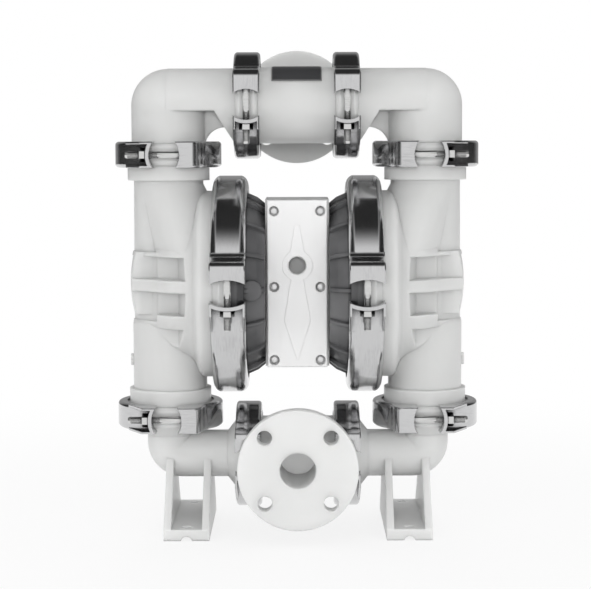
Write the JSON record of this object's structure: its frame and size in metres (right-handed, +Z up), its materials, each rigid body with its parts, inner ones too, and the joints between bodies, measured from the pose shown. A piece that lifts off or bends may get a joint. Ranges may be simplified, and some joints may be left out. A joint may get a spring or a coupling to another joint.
{
  "type": "air operated double diaphragm pump",
  "caption": "Clamped plastic air operated double diaphragm pump: ribbed air chambers, two liquid chambers, flanged inlet and outlet tees, band clamps, check balls and sliding shaft.",
  "frame": {"origin": "on the floor under the middle of the pump, half way between the two feet and on the shaft's plane", "axes": "+Z up; +X to the right along the diaphragm shaft; the inlet flange faces -Y and the outlet flange +Y"},
  "size_m": [0.3944, 0.2656, 0.5253],
  "materials": {
    "white_plastic": "natural white moulded polypropylene",
    "dark_plastic": "dark grey glass-filled plastic, satin",
    "polished_steel": "polished stainless steel band",
    "steel": "stainless steel fastener",
    "rubber": "black elastomer",
    "valve_plastic": "white fluoropolymer",
    "bearing_plastic": "natural bearing plastic",
    "aluminium": "machined"
  },
  "bodies": {
    "pump": {"air_chamber_left": "dark_plastic", "air_chamber_right": "dark_plastic", "air_chamber_screws": "steel", "centre_block": "white_plastic", "column_clamp_lower_left": "polished_steel", "column_clamp_lower_right": "polished_steel", "column_clamp_upper_left": "polished_steel", "column_clamp_upper_right": "polished_steel", "cover_gasket": "rubber", "cover_screws": "steel", "diaphragm_left": "rubber", "diaphragm_right": "rubber", "discharge_elbow_left": "white_plastic", "discharge_elbow_right": "white_plastic", "discharge_tee": "white_plastic", "front_cover": "white_plastic", "inlet_elbow_left": "white_plastic", "inlet_elbow_right": "white_plastic", "inlet_tee": "white_plastic", "large_clamp_bolts": "steel", "large_clamp_lower_left": "polished_steel", "large_clamp_lower_right": "polished_steel", "large_clamp_nuts": "steel", "large_clamp_upper_left": "polished_steel", "large_clamp_upper_right": "polished_steel", "liquid_chamber_left": "white_plastic", "liquid_chamber_right": "white_plastic", "pilot_sleeve": "bearing_plastic", "seat_discharge_left": "valve_plastic", "seat_discharge_right": "valve_plastic", "seat_inlet_left": "valve_plastic", "seat_inlet_right": "valve_plastic", "seat_o_rings": "rubber", "shaft_bushing": "bearing_plastic", "shaft_seals": "rubber", "small_clamp_bolts": "steel", "small_clamp_nuts": "steel", "tee_clamp_discharge_left": "polished_steel", "tee_clamp_discharge_right": "polished_steel", "tee_clamp_inlet_left": "polished_steel", "tee_clamp_inlet_right": "polished_steel", "tee_o_rings": "rubber", "valve_body": "dark_plastic", "valve_cap_bottom": "dark_plastic", "valve_cap_top": "dark_plastic", "valve_gasket": "rubber", "valve_screws": "steel"},
    "shaft_assembly": {"shaft": "steel", "inner_piston_left": "aluminium", "inner_piston_right": "aluminium", "outer_piston_left": "valve_plastic", "outer_piston_right": "valve_plastic"},
    "pilot": {"pilot_spool": "aluminium"},
    "valve_shuttle": {"valve_spool": "aluminium"},
    "ball_discharge_left_body": {"ball_discharge_left": "valve_plastic"},
    "ball_discharge_right_body": {"ball_discharge_right": "valve_plastic"},
    "ball_inlet_left_body": {"ball_inlet_left": "valve_plastic"},
    "ball_inlet_right_body": {"ball_inlet_right": "valve_plastic"}
  },
  "joints": [
    {"name": "shaft_stroke", "type": "slide", "parent": "pump", "child": "shaft_assembly", "axis": [1, 0, 0], "range_m": [-0.014, 0.014], "deforming": ["diaphragm_left", "diaphragm_right"]},
    {"name": "pilot_shift", "type": "slide", "parent": "pump", "child": "pilot", "axis": [1, 0, 0], "range_m": [-0.004, 0.004]},
    {"name": "valve_shift", "type": "slide", "parent": "pump", "child": "valve_shuttle", "axis": [0, 0, 1], "range_m": [0, 0.012]},
    {"name": "check_lift_discharge_left", "type": "slide", "parent": "pump", "child": "ball_discharge_left_body", "axis": [0, 0, 1], "range_m": [0, 0.012]},
    {"name": "check_lift_discharge_right", "type": "slide", "parent": "pump", "child": "ball_discharge_right_body", "axis": [0, 0, 1], "range_m": [0, 0.012]},
    {"name": "check_lift_inlet_left", "type": "slide", "parent": "pump", "child": "ball_inlet_left_body", "axis": [0, 0, 1], "range_m": [0, 0.012]},
    {"name": "check_lift_inlet_right", "type": "slide", "parent": "pump", "child": "ball_inlet_right_body", "axis": [0, 0, 1], "range_m": [0, 0.012]}
  ],
  "couplings": [
    {"joint": "pilot_shift", "follows": "shaft_stroke", "ratio": 0.28571}
  ]
}
